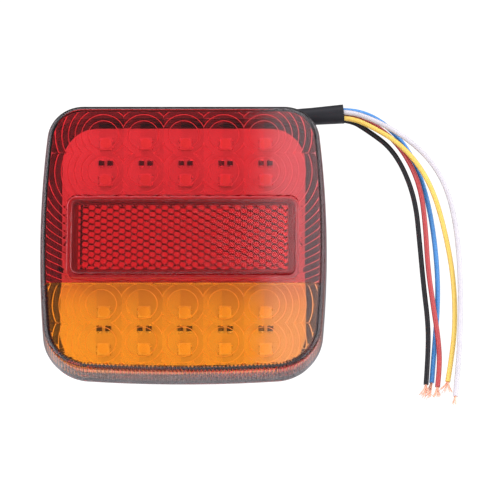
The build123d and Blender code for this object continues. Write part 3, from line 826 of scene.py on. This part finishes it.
# ---------------------------------------------------------------- reflex reflector
def build_reflector():
    """Plate with a field of hexagonal corner prisms on its back."""
    prism_pitch = 2.61 * MM
    step = prism_pitch / sqrt(6)
    column = prism_pitch * sqrt(3) / 2
    apex_depth = 24.05 * MM
    field = (77.6 * MM, 25.2 * MM)
    border_depth = apex_depth + step
    plate = (83.4 * MM, 29.2 * MM, 3.0 * MM)
    plug = (80.4 * MM, 26.6 * MM, 2.7 * MM)
    edge = 0.6 * MM
    edge_steps = 4
    mesh = bmesh.new()
    columns, rows = 19, 7
    for i in range(-columns, columns + 1):
        for j in range(-rows, rows + 1):
            x = i * column
            z = (j + 0.5 * (i % 2)) * prism_pitch
            apex = (x, -apex_depth, z)
            rim = []
            for corner in range(6):
                angle = corner * pi / 3
                level = 1 if corner % 2 else 2
                rim.append((
                    x + prism_pitch / sqrt(3) * cos(angle),
                    -(apex_depth + level * step),
                    z + prism_pitch / sqrt(3) * sin(angle),
                ))
            for low in (1, 3, 5):
                corners = (apex, rim[low], rim[(low + 1) % 6], rim[(low + 2) % 6])
                mesh.faces.new([mesh.verts.new(place) for place in corners])
    bmesh.ops.remove_doubles(mesh, verts=mesh.verts, dist=2e-6)
    half_width, half_height = field[0] / 2, field[1] / 2
    for nx, nz, half in ((1, 0, half_width), (-1, 0, half_width), (0, 1, half_height), (0, -1, half_height)):
        everything = mesh.verts[:] + mesh.edges[:] + mesh.faces[:]
        bmesh.ops.bisect_plane(
            mesh, geom=everything, plane_co=(nx * half, 0, nz * half), plane_no=(nx, 0, nz), clear_outer=True)
    open_edges = [link for link in mesh.edges if len(link.link_faces) == 1]
    walls = bmesh.ops.extrude_edge_only(mesh, edges=open_edges)["geom"]
    for element in walls:
        if isinstance(element, bmesh.types.BMVert):
            element.co.y = -border_depth
    field_edges = [
        link for link in mesh.edges
        if len(link.link_faces) == 1 and all(abs(vertex.co.y + border_depth) < 1e-9 for vertex in link.verts)
    ]
    width, height, radius = plate
    back = loop_at(mesh, rounded_rectangle(*plug), border_depth)
    plug_top = loop_at(mesh, rounded_rectangle(*plug), LEDGE_FRONT + CONTACT_GAP)
    plate_back = loop_at(mesh, rounded_rectangle(*plate), LEDGE_FRONT + CONTACT_GAP)
    chain = [back, plug_top, plate_back]
    for number in range(edge_steps + 1):
        angle = pi / 2 * number / edge_steps
        inset = edge * (1 - cos(angle))
        chain.append(loop_at(
            mesh, rounded_rectangle(width - 2 * inset, height - 2 * inset, radius - inset),
            LENS_FRONT - edge + edge * sin(angle)))
    for first, second in zip(chain, chain[1:]):
        bridge(mesh, first, second)
    bmesh.ops.triangle_fill(mesh, edges=field_edges + loop_edges(mesh, back), use_beauty=True)
    bmesh.ops.triangle_fill(mesh, edges=loop_edges(mesh, chain[-1]), use_beauty=True)
    return finish_mesh(mesh, "reflector_prisms", radians(20))


reflector = build_reflector()
assign(reflector, REFLECTOR_PLASTIC)
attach(reflector, "lamp")
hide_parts("reflex_reflector")


# ---------------------------------------------------------------- LEDs and resistors
def add_block(mesh, centre, size, edge, material_index=0):
    """Box with rounded edges; centre and size are (x, y, z)."""
    corners = bmesh.ops.create_cube(mesh, size=1)["verts"]
    for vertex in corners:
        vertex.co = Vector([vertex.co[axis] * size[axis] + centre[axis] for axis in range(3)])
    edges = {link for vertex in corners for link in vertex.link_edges}
    before = set(mesh.faces) - {face for vertex in corners for face in vertex.link_faces}
    bmesh.ops.bevel(mesh, geom=list(edges), offset=edge, segments=2, profile=0.5, affect="EDGES")
    for face in set(mesh.faces) - before:
        face.material_index = material_index


def add_disc(mesh, centre, radius, rise, material_index):
    """Slightly domed disc facing the front."""
    segments = 32
    rings = []
    for share in (1.0, 0.8, 0.5, 0.25):
        height = rise * (1 - share**2)
        rings.append([
            mesh.verts.new((
                centre[0] + radius * share * cos(2 * pi * number / segments),
                centre[1] - height,
                centre[2] + radius * share * sin(2 * pi * number / segments),
            ))
            for number in range(segments)
        ])
    sunk = Vector((0, 0.1 * MM, 0))
    foot = [mesh.verts.new(vertex.co + sunk) for vertex in rings[0]]
    rings.insert(0, foot)
    before = set(mesh.faces)
    for first, second in zip(rings, rings[1:]):
        bridge(mesh, first, second)
    mesh.faces.new(rings[-1])
    mesh.faces.new(foot)
    for face in set(mesh.faces) - before:
        face.material_index = material_index


def add_led(mesh, x, z):
    """White package with a resin-filled cup and four soldered terminals."""
    terminal = (0.5 * MM, 0.4 * MM, 1.0 * MM)
    terminal_proud = 0.1 * MM
    terminal_spacing = 1.2 * MM
    cup_radius = 1.85 * MM
    cup_lift = 0.02 * MM
    cup_rise = 0.05 * MM
    middle = -(BOARD_FRONT + LED_HEIGHT / 2)
    add_block(mesh, (x, middle, z), (LED_SIZE, LED_HEIGHT, LED_SIZE), 0.16 * MM)
    for side in (-1, 1):
        for row in (-1, 1):
            terminal_x = x + side * (LED_SIZE / 2 + terminal_proud)
            place = (terminal_x, -(BOARD_FRONT + terminal[1] / 2), z + row * terminal_spacing)
            add_block(mesh, place, terminal, 0.06 * MM, 2)
    add_disc(mesh, (x, -(BOARD_FRONT + LED_HEIGHT + cup_lift), z), cup_radius, cup_rise, 1)


def build_leds(name, rows_z, materials):
    """Ten LEDs as one piece."""
    mesh = bmesh.new()
    for x, z in led_places(rows_z):
        add_led(mesh, x + LED_SHIFT_X, z)
    piece = finish_mesh(mesh, name, radians(30))
    for material in materials:
        piece.data.materials.append(material)
    return piece


def build_resistors(materials):
    """Pairs of chip resistors with a dark body, bright end caps and solder at both ends."""
    mesh = bmesh.new()
    width, height, length = RESISTOR_SIZE
    cap = 0.22 * MM
    pad = (width * 0.8, 0.24 * MM, 0.55 * MM)
    pad_beyond = 0.12 * MM
    body = (width * 0.97, height, length * 0.9)
    middle = -(BOARD_FRONT + height / 2)
    for rows_z, above in ((RED_ROWS_Z, RED_RESISTOR_ABOVE), (AMBER_ROWS_Z, AMBER_RESISTOR_ABOVE)):
        for column in range(-2, 3):
            for side in (-1, 1):
                x = column * COLUMN_PITCH + LED_SHIFT_X + side * RESISTOR_OFFSET
                z = rows_z - ROW_PITCH / 2 + above
                add_block(mesh, (x, middle, z), body, 0.08 * MM, 0)
                for end in (-1, 1):
                    cap_z = z + end * (length - cap) / 2
                    add_block(mesh, (x, middle, cap_z), (width, height * 1.03, cap), 0.07 * MM, 1)
                    pad_z = z + end * (length / 2 + pad_beyond)
                    add_block(mesh, (x, -(BOARD_FRONT + pad[1] / 2), pad_z), pad, 0.1 * MM, 1)
    piece = finish_mesh(mesh, "chip_resistors", radians(30))
    for material in materials:
        piece.data.materials.append(material)
    return piece


for name, rows_z in (("leds_red", RED_ROWS_Z), ("leds_amber", AMBER_ROWS_Z)):
    leds = build_leds(f"{name}_packages", rows_z, (PACKAGE, RESIN, SOLDER))
    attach(leds, "lamp")
    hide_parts(name)

resistors = build_resistors((CHIP, SOLDER))
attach(resistors, "lamp")
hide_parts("resistors")


# ---------------------------------------------------------------- cords: route points worked out again, not used further
for colour, (angle, bared, route) in LEADS.items():
    points = lead_points(angle, route)


# ---------------------------------------------------------------- stage and light
def add_floor():
    """Pale floor well below the lamp."""
    data = bpy.data.meshes.new("floor")
    size, front, z = 5.0, -0.3, -0.7
    corners = [(-size, front, z), (size, front, z), (size, size, z), (-size, size, z)]
    data.from_pydata(corners, [], [(0, 1, 2, 3)])
    floor = bpy.data.objects.new("floor", data)
    bpy.context.collection.objects.link(floor)
    assign(floor, solid_material("floor", (0.66, 0.65, 0.64), (0.7, 0.7, 0.69), (0.6, 0.8), 40, 0.0002))


def add_world():
    """Plain white to the camera; all light and every reflection comes from a studio with soft boxes."""
    world = bpy.data.worlds.new("studio")
    bpy.context.scene.world = world
    world.use_nodes = True
    tree = world.node_tree
    tree.nodes.clear()

    def math(operation, first, second=None):
        node = tree.nodes.new("ShaderNodeMath")
        node.operation = operation
        for socket, value in zip(node.inputs, (first, second)):
            if isinstance(value, (int, float)):
                socket.default_value = value
            elif value is not None:
                tree.links.new(value, socket)
        return node.outputs[0]

    def ramp(value, low, high):
        node = tree.nodes.new("ShaderNodeMapRange")
        node.interpolation_type = "SMOOTHSTEP"
        node.inputs["From Min"].default_value = low
        node.inputs["From Max"].default_value = high
        tree.links.new(value, node.inputs["Value"])
        return node.outputs["Result"]

    def product(*values):
        result = values[0]
        for value in values[1:]:
            result = math("MULTIPLY", result, value)
        return result

    def background(colour, strength):
        node = tree.nodes.new("ShaderNodeBackground")
        node.inputs["Color"].default_value = (*colour, 1)
        if isinstance(strength, (int, float)):
            node.inputs["Strength"].default_value = strength
        else:
            tree.links.new(strength, node.inputs["Strength"])
        return node.outputs[0]

    # Each light is a patch of directions, with soft borders between the two values of its ramps
    place = tree.nodes.new("ShaderNodeTexCoord")
    split = tree.nodes.new("ShaderNodeSeparateXYZ")
    tree.links.new(place.outputs["Generated"], split.inputs[0])
    x, y, z = split.outputs
    front = math("MULTIPLY", y, -1.0)
    left = math("MULTIPLY", x, -1.0)
    below = math("MULTIPLY", z, -1.0)
    ahead = product(front, cos(CAMERA_BELOW))
    # Wide soft light in front, with a gap where the flat lens face would mirror it to the camera
    mirrored = math("ADD", ahead, product(z, sin(CAMERA_BELOW)))
    gap = math("SUBTRACT", 1.0, ramp(mirrored, 0.86, 0.95))
    tent = product(ramp(front, 0.05, 0.4), gap)
    # Large soft boxes at both sides, a quarter as strong behind the lamp
    fading = math("ADD", 0.25, product(ramp(front, -0.5, 0.1), 0.75))
    sides = product(ramp(math("ABSOLUTE", x), 0.5, 0.75), fading)
    # Paper behind the lamp, brightest below its level
    paper = product(ramp(y, 0.0, 0.4), math("SUBTRACT", 1.0, ramp(z, -0.1, 0.3)))
    low = product(ramp(below, 0.1, 0.5), ramp(y, -0.2, 0.3))
    # Soft light high above the camera
    high = product(ramp(z, 0.55, 0.75), ramp(front, 0.0, 0.3))
    # Soft light just round the camera, which the corner prisms send straight back
    near_camera = ramp(math("ADD", ahead, product(below, sin(CAMERA_BELOW))), 0.9, 0.97)
    # Pale card in front, a little above the lamp and right of its middle, which its flat faces mirror
    card_width = product(ramp(x, 0.001, 0.008), ramp(left, -0.35, -0.25))
    card = product(card_width, ramp(front, 0.5, 0.7), ramp(z, 0.05, 0.15))

    light = 0.3
    lights = (
        (tent, 1.25), (sides, 2.6), (paper, 0.8), (low, 0.5), (high, 1.2), (near_camera, 0.6), (card, 2.6),
    )
    for patch, strength in lights:
        light = math("ADD", light, product(patch, strength))
    path = tree.nodes.new("ShaderNodeLightPath")
    mix = tree.nodes.new("ShaderNodeMixShader")
    tree.links.new(path.outputs["Is Camera Ray"], mix.inputs["Fac"])
    tree.links.new(background((0.96, 0.93, 1.0), light), mix.inputs[1])
    tree.links.new(background((1, 1, 1), 1.1), mix.inputs[2])
    output = tree.nodes.new("ShaderNodeOutputWorld")
    tree.links.new(mix.outputs[0], output.inputs["Surface"])


add_floor()
add_world()
bpy.context.scene.view_settings.view_transform = "Standard"
